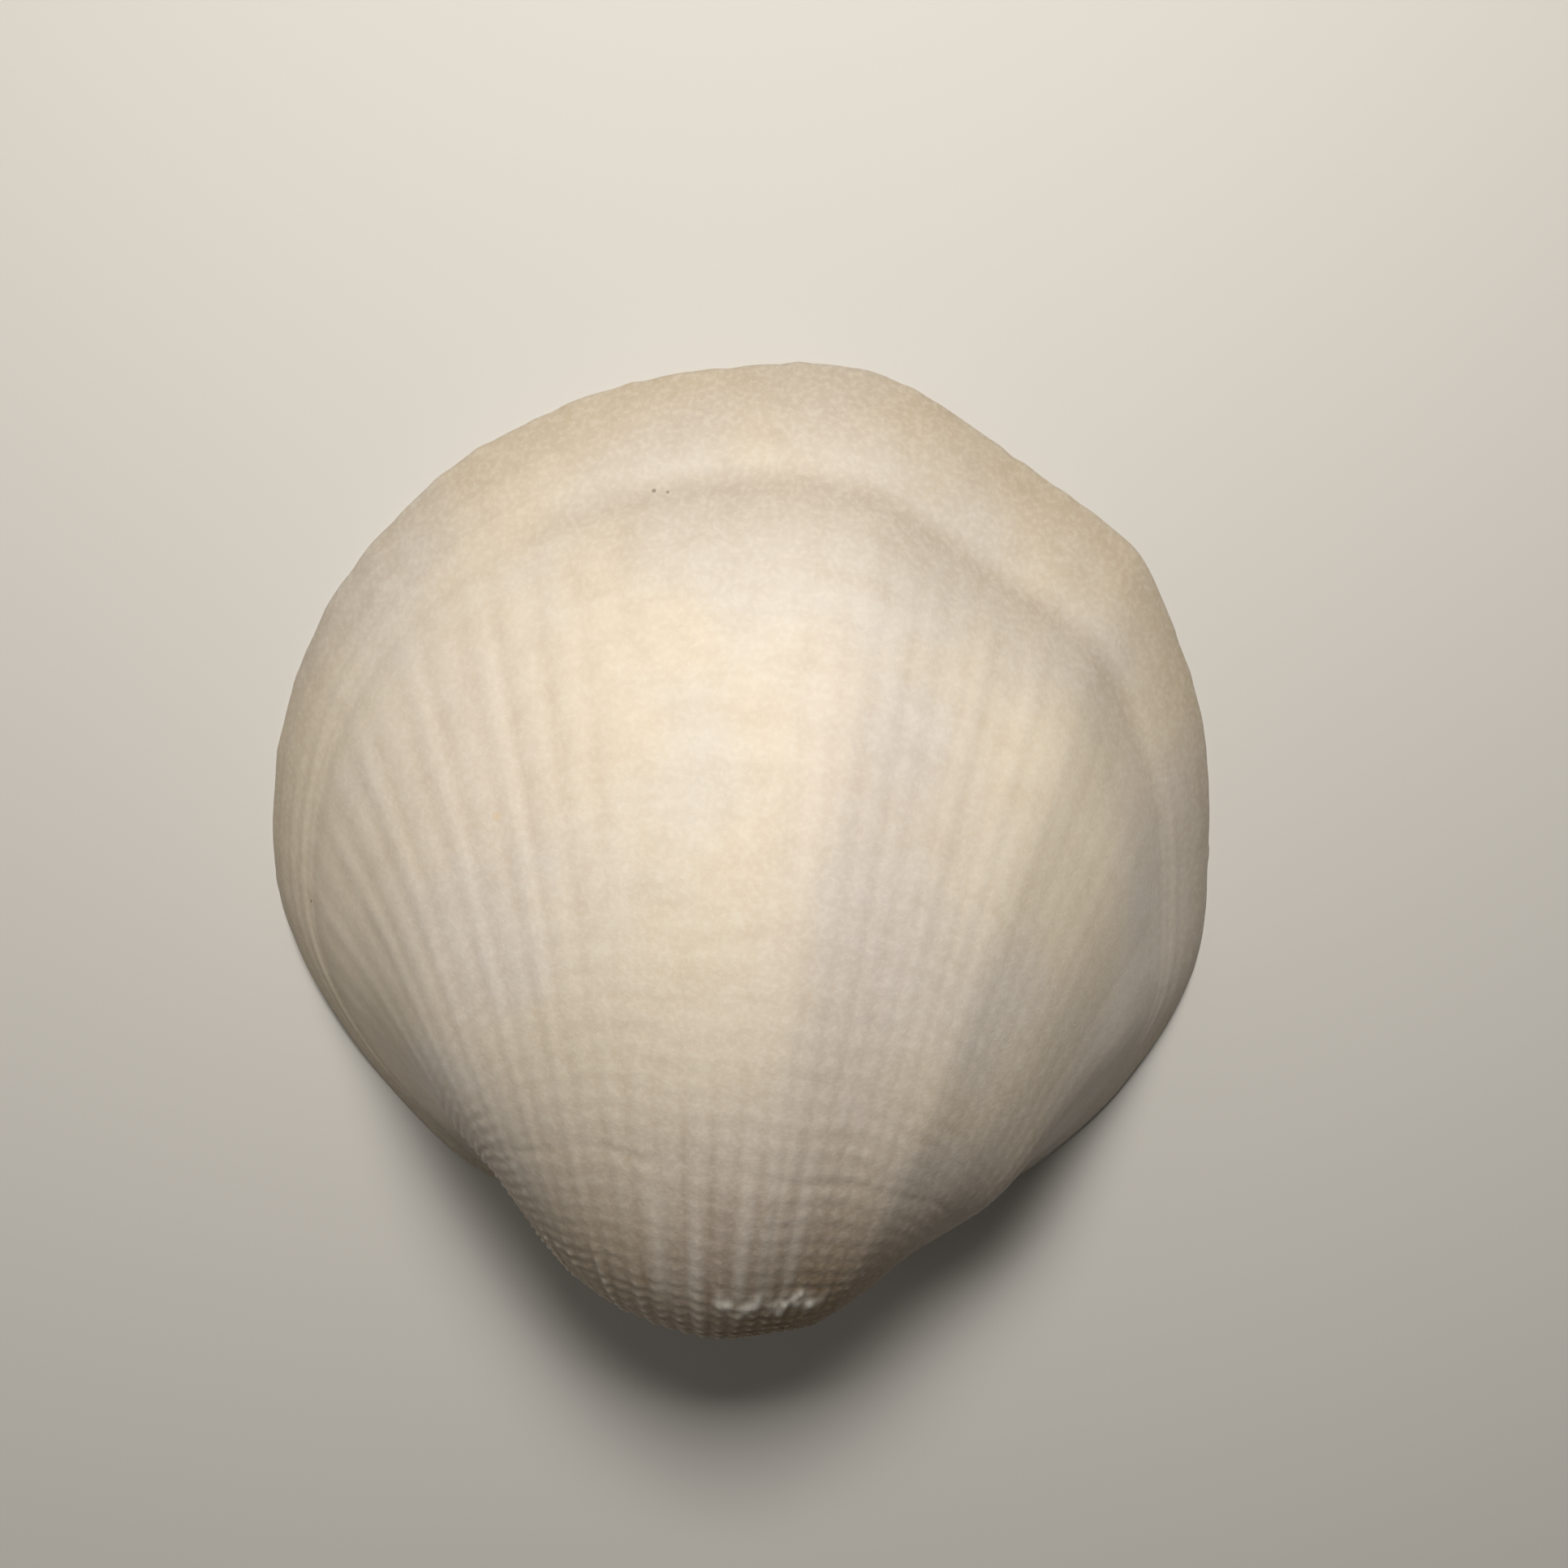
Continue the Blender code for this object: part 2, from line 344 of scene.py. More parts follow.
@dataclass
class Relief:
    """Heights of the sculpture above the plain growth surface.

    Attributes:
        ribs: where the ribs and threads run.
        stop_turn: turn of the growth stop.
        stop_depth: how far it draws the surface in, as a share of the way to the middle.
        stop_shallow: the share of that depth far from its deepest place.
        stop_deepest: angle of its deepest place.
        stop_spread: half width of the deep stretch on its front side.
        stop_rear_spread: the same on its rear side.
        stop_slope: width of the step, in radians of turn.
        stop_long_slope: how much wider it is at the deepest place and on the rear side.
        bowl_slope: width of the step on the bowl's wall.
    """

    ribs: Ribs
    stop_turn: float = 0.137
    stop_depth: float = 0.042
    stop_shallow: float = 0.2
    stop_deepest: float = math.radians(76)
    stop_spread: float = math.radians(36)
    stop_rear_spread: float = math.radians(25)
    stop_slope: float = 0.06
    stop_long_slope: float = 0.04
    bowl_slope: float = 0.20
    # Each rest of growth: its turn, and how deep its furrow is, in millimetres.
    rests: Sequence[tuple[float, float]] = (
        (0.46, 0.0042),
        (0.75, 0.0084),
        (0.83, 0.0070),
        (1.145, 0.0210),
    )
    # Each rib with a white top near the beak: its angle in degrees, and the turns where the
    # white starts and ends.
    white_stretches: Sequence[tuple[float, float, float]] = (
        (85.0, 0.95, 1.35),
        (89.0, 0.90, 1.40),
        (93.0, 1.00, 1.45),
        (100.5, 1.10, 1.60),
        (106.0, 1.05, 1.50),
    )

    def stop_share(self, angle: Array) -> Array:
        """Give how deep the growth stop is at an angle, from stop_shallow to 1.

        Args:
            angle: angle on the rim, in radians.

        Returns:
            A share from stop_shallow to 1.
        """
        front = bump(self.stop_deepest, self.stop_spread, angle)
        rear = bump(self.stop_deepest, self.stop_rear_spread, angle)
        near = np.where(angle > self.stop_deepest, front, rear)
        return self.stop_shallow + (1.0 - self.stop_shallow) * near

    def stop(self, angle: Array, y: Array, turn: Array, slope: Array | float) -> Array:
        """Give how far the growth stop draws the surface in.

        Args:
            angle: angle on the rim.
            y: the rim's y there.
            turn: the turn.
            slope: how wide the step is, in radians of turn.

        Returns:
            A share of the way to the shell's middle.
        """
        depth = self.stop_depth * self.stop_share(angle) * smooth_step(0.0, 4.0 * MM, y)
        before = turn / self.stop_turn
        after = np.exp(-(((turn - self.stop_turn) / slope) ** 2))
        return depth * np.where(turn < self.stop_turn, before, after)

    def outer_slope(self, angle: Array) -> Array:
        """Give the width of the growth stop's step, widest where it is deepest."""
        rear = bump(self.stop_deepest, 0.45, np.maximum(angle, self.stop_deepest))
        return self.stop_slope + self.stop_long_slope * rear

    def strength(self, angle: Array, turn: Array) -> Array:
        """Give the ribs' strength: low in the middle, strong on the front side and by the beak.

        Args:
            angle: angle on the rim, in radians.
            turn: turn about the hinge line, in radians.

        Returns:
            The strength, from 0 to about 1.
        """
        degrees = np.degrees(angle)
        rear = 0.07 + 0.12 * bump(81, 9, degrees) - 0.01 * bump(99, 6, degrees)
        front = 0.26 * smooth_step(103, 116, degrees) * (1.0 - 0.38 * smooth_step(126, 144, degrees))
        front = front * (1.0 - 0.5 * smooth_step(0.45, 1.0, turn))
        young = 0.65 * smooth_step(0.8, 1.3, turn) * bump(99, 13, degrees)
        beak = 0.45 * smooth_step(1.35, 1.6, turn) * (0.35 + 0.65 * smooth_step(80, 94, degrees))
        ends = plateau(14, 34, 152, 164, degrees)
        band = 0.3 + 0.7 * smooth_step(self.stop_turn, self.stop_turn + 0.12, turn)
        return (rear + front + young + beak) * ends * band

    def patches(self, across: Array, along: Array, seed: int) -> Array:
        """Give an uneven factor about 1 that changes from place to place.

        Args:
            across: place across the pattern, in its own steps.
            along: place along the pattern, in its own steps.
            seed: which pattern.

        Returns:
            Values from about 0.1 to 1.9.
        """
        table = np.random.default_rng(seed).uniform(0.1, 1.9, (97, 97))
        column = np.floor(across).astype(int)
        row = np.floor(along).astype(int)
        right = smooth_step(0.0, 1.0, across - column)
        up = smooth_step(0.0, 1.0, along - row)
        lower = table[row % 97, column % 97] * (1 - right) + table[row % 97, (column + 1) % 97] * right
        above = table[(row + 1) % 97, column % 97] * (1 - right)
        above = above + table[(row + 1) % 97, (column + 1) % 97] * right
        return lower * (1 - up) + above * up

    def rib_height(self, angle: Array, turn: Array) -> Array:
        """Give the ribs' height, in millimetres, about the plain surface.

        Args:
            angle: angle on the rim, in radians.
            turn: turn about the hinge line, in radians.

        Returns:
            The heights.
        """
        phase = self.ribs.phase(angle)
        narrow = smooth_step(106, 118, np.degrees(angle))
        dome = (0.5 + 0.5 * np.cos(math.tau * phase)) ** (0.7 + 0.3 * narrow) - 0.55 + 0.08 * narrow
        strong = 1.0 + 0.55 * np.cos(math.pi * phase) * smooth_step(108, 116, np.degrees(angle))
        uneven = 0.5 + 0.5 * self.patches(phase + 0.5, turn * 2.5, 11)
        uneven = uneven * (0.75 + 0.25 * self.patches(phase + 0.5, turn * 24.0, 12))
        size = np.exp(-0.30 * turn)
        return 0.085 * dome * strong * uneven * size * self.strength(angle, turn)

    def thread_phase(self, angle: Array, turn: Array) -> Array:
        """Give the thread count, with the threads' gentle waves."""
        wave = 0.22 * np.sin(angle * 9.0 + turn * 2.0) + 0.12 * np.sin(angle * 23.0 - turn * 5.0)
        return turn / self.ribs.thread_spacing + wave

    def bead_height(self, angle: Array, turn: Array) -> Array:
        """Give the height of the beads where threads cross the ribs, in millimetres.

        Args:
            angle: angle on the rim, in radians.
            turn: turn about the hinge line, in radians.

        Returns:
            The heights.
        """
        degrees = np.degrees(angle)
        phase = self.ribs.phase(angle)
        threads = self.thread_phase(angle, turn)
        on_rib = (0.5 + 0.5 * np.cos(math.tau * phase)) ** 0.8
        thread = 0.5 + 0.5 * np.cos(math.tau * threads)
        uneven = self.patches(phase + 0.5, threads + 0.5, 5)
        main = 0.010 * smooth_step(0.3, 0.8, turn)
        rear = 0.007 * bump(84, 12, degrees) * smooth_step(0.9, 1.15, turn)
        beak = 0.026 * smooth_step(1.5, 1.8, turn)
        front = 0.025 * smooth_step(128, 140, degrees) * smooth_step(0.9, 1.2, turn)
        ends = plateau(16, 44, 146, 162, degrees)
        flank = 0.070 * bump(153, 8, degrees) * smooth_step(0.7, 1.0, turn)
        flank = flank + 0.030 * smooth_step(112, 128, degrees) * smooth_step(1.40, 1.60, turn)
        size = ((main + rear + beak + front) * ends + flank) * uneven
        return size * (thread - 0.5) * (0.35 + 0.85 * on_rib)

    def ridge_height(self, angle: Array, turn: Array) -> Array:
        """Give the rear ridge and the hollow behind it, in millimetres.

        Args:
            angle: angle on the rim, in radians.
            turn: turn about the hinge line, in radians.

        Returns:
            The heights.
        """
        degrees = np.degrees(angle)
        fade = plateau(self.stop_turn, self.stop_turn + 0.1, 0.5, 0.95, turn)
        ridge = 0.022 * bump(77.2, 1.4, degrees) - 0.03 * bump(73.6, 1.9, degrees)
        return fade * (ridge - 0.03 * bump(66, 8, degrees))

    def rest_height(self, angle: Array, turn: Array) -> Array:
        """Give the thin furrows where growth rested, in millimetres.

        Args:
            angle: angle on the rim, in radians.
            turn: turn about the hinge line, in radians.

        Returns:
            The heights, 0 or less.
        """
        degrees = np.degrees(angle)
        wave = 0.010 * np.sin(angle * 7.0) + 0.006 * np.sin(angle * 19.0 + 1.0)
        ends = plateau(30, 60, 135, 155, degrees)
        furrow = np.zeros(np.broadcast_shapes(angle.shape, turn.shape))
        for middle, furrow_depth in self.rests:
            furrow = furrow - furrow_depth * bump(middle, 0.013, turn + wave) * ends
        notch = bump(self.stop_turn, 0.014, turn + 0.2 * wave)
        notch = notch * (0.4 + 0.6 * self.stop_share(angle))
        depth = 0.012 + 0.020 * smooth_step(60, 80, degrees) + 0.022 * bump(122, 16, degrees)
        return furrow - depth * notch * smooth_step(4, 20, degrees)

    def band_height(self, angle: Array, turn: Array) -> Array:
        """Give the fine growth lines of the last band, in millimetres.

        Args:
            angle: angle on the rim, in radians.
            turn: turn about the hinge line, in radians.

        Returns:
            The heights.
        """
        inside = 1.0 - smooth_step(self.stop_turn * 0.85, self.stop_turn, turn)
        lines = np.cos(math.tau * turn / 0.034 + 0.5 * np.sin(angle * 4.0))
        uneven = 0.4 + 0.6 * self.patches(np.degrees(angle) / 9.0, turn / 0.034, 7)
        return 0.017 * inside * lines * uneven * (0.3 + 0.7 * smooth_step(90, 125, np.degrees(angle)))

    def crest(self, angle: Array, turn: Array) -> Array:
        """Give the broken crest of white grains beside the beak, from 0 to 1.

        Args:
            angle: angle on the rim, in radians.
            turn: turn about the hinge line, in radians.

        Returns:
            The share of white.
        """
        degrees = np.degrees(angle)
        length = plateau(75, 79, 95, 98, degrees)
        broken = (1.0 - 0.9 * bump(88.0, 1.1, degrees)) * (1.0 - 0.9 * bump(93.4, 0.8, degrees))
        grains = 0.25 + 0.75 * self.patches(degrees * 1.15, turn * 30.0, 31) / 1.9
        place = 1.565 + 0.0022 * (degrees - 86.0) + 0.02 * np.sin(degrees * 0.9)
        width = 0.020 + 0.016 * self.patches(degrees * 0.6, np.zeros_like(turn), 32)
        across = np.exp(-(((turn - place) / width) ** 2))
        return np.clip(1.3 * length * broken * grains * across, 0.0, 1.0)

    def white_ribs(self, angle: Array, turn: Array) -> Array:
        """Give the few ribs whose tops stay white near the beak, from 0 to 1.

        Args:
            angle: angle on the rim, in radians.
            turn: turn about the hinge line, in radians.

        Returns:
            The share of white.
        """
        degrees = np.degrees(angle)
        found = np.zeros(np.broadcast_shapes(angle.shape, turn.shape))
        for middle, start, end in self.white_stretches:
            along = plateau(start, start + 0.3, end, end + 0.3, turn)
            found = np.maximum(found, bump(middle, 1.5, degrees) * along)
        grains = self.patches(self.ribs.phase(angle) * 2.0, self.thread_phase(angle, turn) + 0.5, 33)
        return found * (0.55 + 0.22 * grains)

    def height(self, angle: Array, turn: Array) -> Array:
        """Give the whole outer relief, in metres, fading to nothing on the rim and at the beak.

        Args:
            angle: angle on the rim, in radians.
            turn: turn about the hinge line, in radians.

        Returns:
            The heights, in metres.
        """
        total = self.rib_height(angle, turn) + self.bead_height(angle, turn)
        total = total + self.ridge_height(angle, turn) + self.band_height(angle, turn)
        total = total + self.rest_height(angle, turn) + 0.06 * self.crest(angle, turn)
        return total * MM * plateau(0.0, 0.02, 2.0, 2.3, turn)


@dataclass
class Valve:
    """The valve: one closed skin over the outer side, the rim, the hinge plate and the bowl.

    Attributes:
        outline: the rim seen from above.
        growth: the spiral.
        relief: the sculpture of the outer side.
        hinge_middle: the hinge line's middle in the frame.
        per_rib: columns of the mesh on each rib.
        hinge_columns: columns along the hinge side, which has no ribs.
        outer_rings: rings of the mesh on the outer side.
        rim_rings: rings across the rim and the hinge plate.
        bowl_rings: rings in the bowl.
        beak_turn: turn at which the outer side closes.
        bowl_turn: turn at which the bowl closes.
        beak_lift: height above the rim's plane at which the outer side closes.
        bowl_lift: the same for the bowl.
        rim_width: width of the rim.
        hinge_width: width of the hinge plate.
        hinge_recess: how far the hinge plate lies above the rim's plane.
        hinge_end: y at which the hinge plate has faded into the rim.
        tooth_height: height of the hinge teeth.
        middle_y: y of the shell's middle, towards which the growth stop draws the surface.
        notch_depth: depth of the notches in the rim's inner edge.
        flank_rise: how far the flanks beside the hinge are raised.
        flank_turn: the turn over which they rise.
        edge_wear: how much the worn outer edge is drawn in to the hinge line's middle, as a share.
        sharp_over: angle over which an edge of the mesh is sharp.
        bulge_turn: turn of the middle of the bulges beside the beak.
        bulge_spread: their half width.
    """

    outline: RimOutline
    growth: Growth
    relief: Relief
    hinge_middle: Vector
    per_rib: int = 6
    hinge_columns: int = 52
    outer_rings: int = 262
    rim_rings: int = 14
    bowl_rings: int = 40
    beak_turn: float = math.radians(135)
    bowl_turn: float = math.radians(112)
    beak_lift: float = 1.0 * MM
    bowl_lift: float = 1.5 * MM
    rim_width: float = 0.95 * MM
    hinge_width: float = 2.0 * MM
    hinge_recess: float = 0.55 * MM
    hinge_end: float = 3.0 * MM
    tooth_height: float = 0.45 * MM
    middle_y: float = 7.0 * MM
    notch_depth: float = 0.10 * MM
    flank_rise: float = 0.9 * MM
    flank_turn: float = 0.10
    edge_wear: float = 0.0035
    sharp_over: float = math.radians(50)
    bulge_turn: float = 0.95
    bulge_spread: float = 0.45
    # Each bulge beside the beak: the angle on the rim of its middle and its half width there, in
    # degrees, and how far it moves the surface along X and up, in millimetres.
    bulges: Sequence[tuple[float, float, float, float]] = (
        (35.0, 20.0, 0.5, 0.9),
        (147.0, 20.0, -0.1, 1.0),
    )
    # Each tooth: its middle on the hinge plate and its half sizes along X and Y, in millimetres.
    teeth_mm: Sequence[tuple[float, float, float, float]] = (
        (-1.1, 0.4, 0.45, 0.75),
        (1.0, 0.5, 0.45, 0.75),
        (-6.6, 1.6, 1.3, 0.4),
        (5.9, 1.4, 1.2, 0.4),
    )

    # Each speck: its angle on the rim in degrees, its turn, its radius in millimetres and its colour.
    stray_specks: Sequence[tuple[float, float, float, str]] = (
        (103.5, 0.131, 0.075, "4a3f33"),
        (102.5, 0.135, 0.060, "5a4d3e"),
        (149.7, 0.131, 0.060, "5a4d3e"),
        (120.4, 0.495, 0.150, "e2c9a8"),
    )

    def columns(self) -> Array:
        """Give the angle on the rim of every column of the mesh.

        Returns:
            The angles, in radians.
        """
        ribbed = self.relief.ribs.column_angles(self.per_rib)
        rest = self.outline.angles_along(ribbed[-1], ribbed[0] + math.tau, self.hinge_columns + 1)
        return np.concatenate([ribbed, rest[1:]])

    def outer_turns(self) -> Array:
        """Give the turn of each outer ring from the beak to the rim, crowded at the growth stop.

        Returns:
            The turns, in radians.
        """
        fine = np.linspace(0.0, 1.0, 4000)
        turns = self.beak_turn * fine
        crowd = 1.0 + 2.2 * bump(self.relief.stop_turn, 0.05, turns)
        crowd += 0.35 * smooth_step(0.5, 1.2, turns)
        crowd += 0.25 / np.sqrt(np.maximum(1.0 - fine, 1e-4))
        reach = np.concatenate([[0.0], np.cumsum(0.5 * (crowd[1:] + crowd[:-1]))])
        places = np.linspace(reach[-1], 0.0, self.outer_rings + 1)
        return np.interp(places, reach, turns)

    def drawn_in(self, point: Array, share: Array) -> Array:
        """Move points a share of the way to the shell's middle."""
        middle = np.array([0.0, self.middle_y, 0.0])
        return point + (middle - point) * share[..., None]

    def flank(self, x: Array, y: Array, turn: Array) -> Array:
        """Give how far the bulge of the flanks beside the hinge raises the surface.

        Args:
            x: the rim's x.
            y: the rim's y.
            turn: turn about the hinge line, in radians.

        Returns:
            The rise, in metres.
        """
        aside = smooth_step(0.35, 0.9, np.abs(x) / np.hypot(x, y)) * smooth_step(0.0, 3.0 * MM, y)
        fade = 1.0 - smooth_step(0.5, 1.2, turn)
        return self.flank_rise * aside * fade * (1.0 - np.exp(-turn / self.flank_turn))

    def bulge(self, angle: Array, y: Array, turn: Array) -> Array:
        """Give how far the bulges beside the beak move the surface, as vectors.

        Args:
            angle: angle on the rim, in radians.
            y: the rim's y.
            turn: turn about the hinge line, in radians.

        Returns:
            The moves, with a last axis of three.
        """
        share = bump(self.bulge_turn, self.bulge_spread, turn) * smooth_step(0.0, 0.3, turn)
        share = share * smooth_step(0.0, 3.0 * MM, y)
        degrees = np.degrees(angle)
        move = np.zeros(share.shape + (3,))
        for middle, width, outwards, up in self.bulges:
            near = bump(middle, width, degrees) * share
            move += near[..., None] * np.array([outwards, 0.0, up]) * MM
        return move

    def wear(self, angle: Array) -> Array:
        """Give how much nearer to the hinge line's middle the worn edge stands, as a share.

        Args:
            angle: angle on the rim, in radians.

        Returns:
            The shares.
        """
        degrees = np.degrees(angle)
        ribbed = plateau(8, 20, 158, 170, degrees)
        coarse = self.relief.patches(degrees / 2.9, np.zeros_like(degrees), 21)
        fine = self.relief.patches(degrees / 1.1, np.zeros_like(degrees), 22)
        return ribbed * self.edge_wear * (0.5 * coarse + 0.5 * fine)

    def plain_outer(self, angle: Array, turn: Array) -> Array:
        """Give points of the outer side without its fine relief.

        Args:
            angle: angle on the rim, in radians.
            turn: turn about the hinge line, in radians.

        Returns:
            The points, with a last axis of three.
        """
        angle = self.relief.ribs.drifted(angle, turn)
        x, y = self.outline.edge(angle)
        point = self.growth.place(x, y, 0.0, turn, self.beak_turn, self.beak_lift)
        share = self.relief.stop(angle, y, turn, self.relief.outer_slope(angle))
        point = self.drawn_in(point, share)
        point[..., 2] += self.flank(x, y, turn)
        return point + self.bulge(angle, y, turn)

    def outer(self, angle: Array, turn: Array) -> Array:
        """Give points of the outer side, raised along its normals by the relief.

        Args:
            angle: the columns' angles on the rim, with a last axis for columns.
            turn: the rings' turns, with a first axis for rings.

        Returns:
            The points of each ring and column.
        """
        point = self.plain_outer(angle, turn)
        small = 1e-4
        along = self.plain_outer(angle + small, turn) - self.plain_outer(angle - small, turn)
        before = self.plain_outer(angle, np.maximum(turn - small, 0.0))
        back = self.plain_outer(angle, turn + small) - before
        normal = np.cross(along, back)
        length = np.linalg.norm(normal, axis=-1, keepdims=True)
        normal = np.where(length > 1e-16, normal / np.maximum(length, 1e-16), 0.0)
        point = point + normal * self.relief.height(angle, turn)[..., None]
        worn = self.wear(angle) * (1.0 - smooth_step(0.0, 0.03, turn))
        return point * np.stack([1.0 - worn, 1.0 - worn, np.ones_like(worn)], axis=-1)

    def inner_edge(self, x: Array, y: Array) -> tuple[Array, Array]:
        """Give the bowl's edge beside places of the rim.

        Args:
            x: the rim's x.
            y: the rim's y.

        Returns:
            The places' x and y.
        """
        far = max(y for _, y in self.outline.points_mm) * MM
        side = max(-x for x, _ in self.outline.points_mm) * MM
        depth = (far - self.rim_width - self.hinge_width) / far
        width = (side - self.rim_width) / side
        return x * width, self.hinge_width + np.where(y < 0, 0.3, depth) * y

    def hinge_share(self, y: Array) -> Array:
        """Give 1 beside the hinge and 0 round the rest of the rim."""
        return 1.0 - smooth_step(0.0, self.hinge_end, y)

    def teeth(self, x: Array, y: Array) -> Array:
        """Give how far the hinge teeth stand out at places on the hinge plate.

        Args:
            x: the rim's x.
            y: the rim's y.

        Returns:
            The rise, in metres.
        """
        rise = np.zeros_like(x)
        for middle_x, middle_y, half_x, half_y in self.teeth_mm:
            across = (x / MM - middle_x) / half_x
            along = (y / MM - middle_y) / half_y
            rise = np.maximum(rise, self.tooth_height * np.exp(-(across**2 + along**2) ** 1.5))
        return rise

    def notches(self, angle: Array) -> Array:
        """Give the depth of the notches on the inner edge of the rim, one between two ribs.

        Args:
            angle: angle on the rim, in radians.

        Returns:
            The depths, in metres.
        """
        phase = self.relief.ribs.phase(angle)
        ends = plateau(25, 40, 140, 155, np.degrees(angle))
        return self.notch_depth * ends * (0.5 - 0.5 * np.cos(math.tau * phase))

    def rim(self, angle: Array, part: Array) -> Array:
        """Give points of the rim and hinge plate, from the outer edge at part 0 to the bowl at 1.

        Args:
            angle: angle on the rim, in radians.
            part: the way across, 0 on the outer edge and 1 at the bowl.

        Returns:
            The points, with a last axis of three.
        """
        x, y = self.outline.edge(angle)
        inner_x, inner_y = self.inner_edge(x, y)
        px = x + (inner_x - x) * part
        py = y + (inner_y - y) * part
        worn = self.wear(angle) * (1.0 - smooth_step(0.0, 0.4, part))
        px = px * (1.0 - worn)
        py = py * (1.0 - worn)
        share = self.hinge_share(y)
        recess = self.hinge_recess * share * smooth_step(0.0, 0.35, part)
        teeth = self.teeth(px, py) * smooth_step(0.0, 0.3, part) * share
        notch = self.notches(angle) * smooth_step(0.45, 1.0, part)
        return np.stack([px, py, np.maximum(recess - teeth, 0.0) + notch], axis=-1)

    def scars(self, angle: Array, turn: Array) -> Array:
        """Give where the two muscle scars lie in the bowl, from 0 to 1.

        Args:
            angle: angle on the rim, in radians.
            turn: turn about the hinge line, in radians.

        Returns:
            1 in a scar and 0 outside it.
        """
        found = np.zeros(np.broadcast_shapes(angle.shape, turn.shape))
        for middle, middle_turn in ((30, 0.62), (152, 0.62)):
            across = (np.degrees(angle) - middle) / 11.0
            back = (turn - middle_turn) / 0.24
            distance = np.sqrt(across**2 + back**2)
            found = np.maximum(found, 1.0 - smooth_step(0.8, 1.05, distance))
        return found

    def pallial_line(self, angle: Array, turn: Array) -> Array:
        """Give the line along which the mantle was fixed, from 0 to 1.

        Args:
            angle: angle on the rim, in radians.
            turn: turn about the hinge line, in radians.

        Returns:
            1 on the line and 0 away from it.
        """
        place = 0.42 + 0.03 * np.sin(angle * 3.0)
        ends = plateau(30, 45, 140, 152, np.degrees(angle))
        return bump(0.0, 0.03, turn - place) * ends

    def bowl(self, angle: Array, turn: Array) -> Array:
        """Give points of the bowl's wall.

        Args:
            angle: angle on the rim, in radians.
            turn: turn about the hinge line, in radians.

        Returns:
            The points, with a last axis of three.
        """
        x, y = self.outline.edge(angle)
        inner_x, inner_y = self.inner_edge(x, y)
        point = self.growth.place(
            inner_x, inner_y, self.hinge_width, turn, self.bowl_turn, self.bowl_lift
        )
        point = self.drawn_in(point, self.relief.stop(angle, y, turn, self.relief.bowl_slope))
        recess = self.hinge_recess * self.hinge_share(y) * (1.0 - smooth_step(0.0, 0.5, turn))
        notch = self.notches(angle) * (1.0 - smooth_step(0.0, 0.10, turn))
        mark = 0.05 * MM * self.scars(angle, turn) + 0.03 * MM * self.pallial_line(angle, turn)
        point[..., 2] += recess + notch + mark + self.flank(x, y, turn)
        return point + self.bulge(angle, y, turn)

    def grid(self) -> tuple[Array, dict[str, Array]]:
        """Work out every ring and column of the skin.

        Returns:
            Points by ring and column, and the values that the material reads, by name.
        """
        angle = self.columns()[None, :]
        turns = self.outer_turns()[:, None]
        parts = (np.arange(1, self.rim_rings + 1) / self.rim_rings)[:, None]
        bowl_turns = (self.bowl_turn * np.arange(1, self.bowl_rings + 1) / self.bowl_rings)[:, None]
        points = np.concatenate(
            [self.outer(angle, turns), self.rim(angle, parts), self.bowl(angle, bowl_turns)]
        )
        points = points + np.array(self.hinge_middle)
        heights = self.relief.rib_height(angle, turns) + self.relief.bead_height(angle, turns)
        flat = np.zeros((self.rim_rings, angle.shape[1]))
        bowl = np.zeros((self.bowl_rings, angle.shape[1]))
        outer = np.zeros((len(turns), angle.shape[1]))
        wide = np.zeros((1, angle.shape[1]))
        values = {
            "relief": np.concatenate([heights, flat, bowl]),
            "turn": np.concatenate([turns + wide, flat, bowl_turns + wide]),
            "angle": np.concatenate([angle + outer, angle + flat, angle + bowl]),
            "side": np.concatenate([outer, flat + Side.RIM.value, bowl + Side.BOWL.value]),
            "scar": np.concatenate([outer, flat, self.scars(angle, bowl_turns)]),
            "chalk": np.concatenate([self.chalk(angle, turns), flat, bowl]),
            # Painted shade on the flanks, the edge and the growth stop, with the beak's own tan.
            "tan_and_painted_shade": np.concatenate([self.tan_and_painted_shade(angle, turns), flat, bowl]),
            # Darker towards the beak: painted shade over its own duller tone.
            "grey_and_painted_shade": np.concatenate([self.grey_and_painted_shade(angle, turns), flat, bowl]),
            "cool": np.concatenate([self.cool(angle, turns), flat, bowl]),
        }
        return points, values

    def chalk(self, angle: Array, turn: Array) -> Array:
        """Give where the outer side is worn to white, from 0 to 1."""
        crest = self.relief.crest(angle, turn)
        return np.clip(crest + 0.30 * self.relief.white_ribs(angle, turn), 0.0, 1.0)

